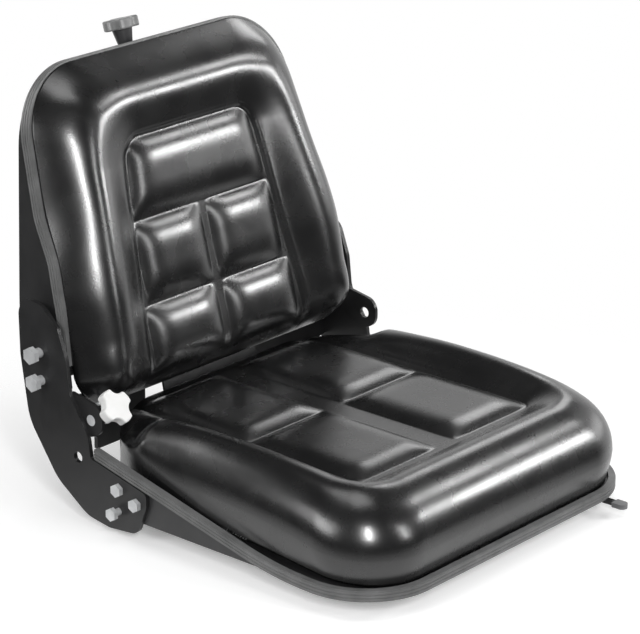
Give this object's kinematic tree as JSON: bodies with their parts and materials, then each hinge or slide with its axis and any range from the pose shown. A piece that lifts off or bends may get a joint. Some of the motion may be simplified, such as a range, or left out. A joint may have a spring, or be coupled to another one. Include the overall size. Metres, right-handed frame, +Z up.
{
  "type": "ride on mower seat",
  "caption": "Compact sprung mower seat: moulded black cushions in a trimmed pan and shell, tilting backrest between side plates, star knobs, slide rails and release lever.",
  "frame": {"origin": "centre of the four rail bolt holes, on the underside of the lower rails", "axes": "+Y to the rear of the seat, +Z up, +X to the sitter's left, so the seat faces -Y"},
  "size_m": [0.4928, 0.6056, 0.4944],
  "materials": {
    "vinyl": "gloss black grained vinyl",
    "black_paint": "satin black",
    "pan_paint": "satin dark grey",
    "trim": "matt grey ribbed",
    "zinc": "bright zinc",
    "knob_pale": "pale",
    "knob_grey": "grey",
    "knob_dark": "dark",
    "grip": "grey",
    "nylon": "natural",
    "stop_rubber": "black",
    "board": "plain plywood"
  },
  "bodies": {
    "rails": {"left_lower_rail": "zinc", "right_lower_rail": "zinc"},
    "seat_frame": {"left_upper_rail": "zinc", "right_upper_rail": "zinc", "slide_glides": "nylon", "rail_bolts": "zinc", "lever_pivot_pin": "zinc", "base_pan": "pan_paint", "base_edge_trim": "trim", "left_side_plate": "black_paint", "right_side_plate": "black_paint", "left_backing_plate": "black_paint", "right_backing_plate": "black_paint", "lower_bolts": "zinc", "left_ear_bracket": "black_paint", "right_ear_bracket": "black_paint", "ear_pin": "zinc", "rear_cross_member": "black_paint", "hinge_brackets": "black_paint", "hinge_pins": "zinc", "bump_stops": "stop_rubber", "tilt_swivel": "zinc"},
    "release_lever": {"release_lever": "black_paint", "lever_grip": "grip", "lever_spring": "zinc"},
    "seat_plate": {"seat_plate": "black_paint", "spring_hanger": "black_paint", "seat_cushion": "vinyl"},
    "backrest": {"back_shell": "black_paint", "back_edge_trim": "trim", "back_board": "board", "board_posts": "black_paint", "back_cushion": "vinyl", "pivot_bolts": "zinc", "slot_bolts": "zinc", "weld_nuts": "zinc", "plate_spacers": "zinc", "tilt_arm": "black_paint", "tilt_nut": "zinc", "spindle_bush": "nylon"},
    "tilt_knob": {"tilt_screw": "zinc", "tilt_knob_hub": "knob_dark", "tilt_knob_head": "knob_pale"},
    "weight_knob": {"weight_spindle": "zinc", "weight_knob_hub": "knob_dark", "weight_knob_head": "knob_grey"},
    "spring_yoke": {"spring_yoke": "black_paint", "lift_springs": "zinc"}
  },
  "joints": [
    {"name": "seat_slide", "type": "slide", "parent": "rails", "child": "seat_frame", "axis": [0, 1, 0], "range_m": [-0.075, 0.075]},
    {"name": "release_lever_swing", "type": "hinge", "parent": "seat_frame", "child": "release_lever", "pos_m": [0.172, -0.1, 0.0115], "axis": [0, 0, 1], "range_deg": [0, 10], "stiffness_Nm_per_rad": 1.5, "springref_deg": -8.59},
    {"name": "seat_suspension", "type": "hinge", "parent": "seat_frame", "child": "seat_plate", "pos_m": [0, -0.195, 0.0315], "axis": [1, 0, 0], "range_deg": [-4.5, 0], "stiffness_Nm_per_rad": 2500, "springref_deg": 1.15, "deforming": ["lift_springs"]},
    {"name": "backrest_tilt", "type": "hinge", "parent": "seat_frame", "child": "backrest", "pos_m": [0, 0.23, 0.152], "axis": [-1, 0, 0], "range_deg": [-3, 6]},
    {"name": "tilt_knob_turn", "type": "hinge", "parent": "seat_frame", "child": "tilt_knob", "pos_m": [-0.213, 0.161, 0.122], "axis": [0, 0.809, -0.5878], "range_deg": [-210, 420]},
    {"name": "weight_knob_turn", "type": "hinge", "parent": "backrest", "child": "weight_knob", "pos_m": [0, 0.32337, 0.46257], "axis": [0, -0.284, -0.9588], "range_deg": [-5, 1450]},
    {"name": "spring_yoke_lift", "type": "slide", "parent": "backrest", "child": "spring_yoke", "axis": [0, 0.284, 0.9588], "range_m": [0, 0.016], "deforming": ["lift_springs"]}
  ],
  "couplings": [
    {"joint": "tilt_knob_turn", "follows": "backrest_tilt", "ratio": 67.887},
    {"joint": "weight_knob_turn", "follows": "spring_yoke_lift", "rad_per_m": 1570.8}
  ]
}
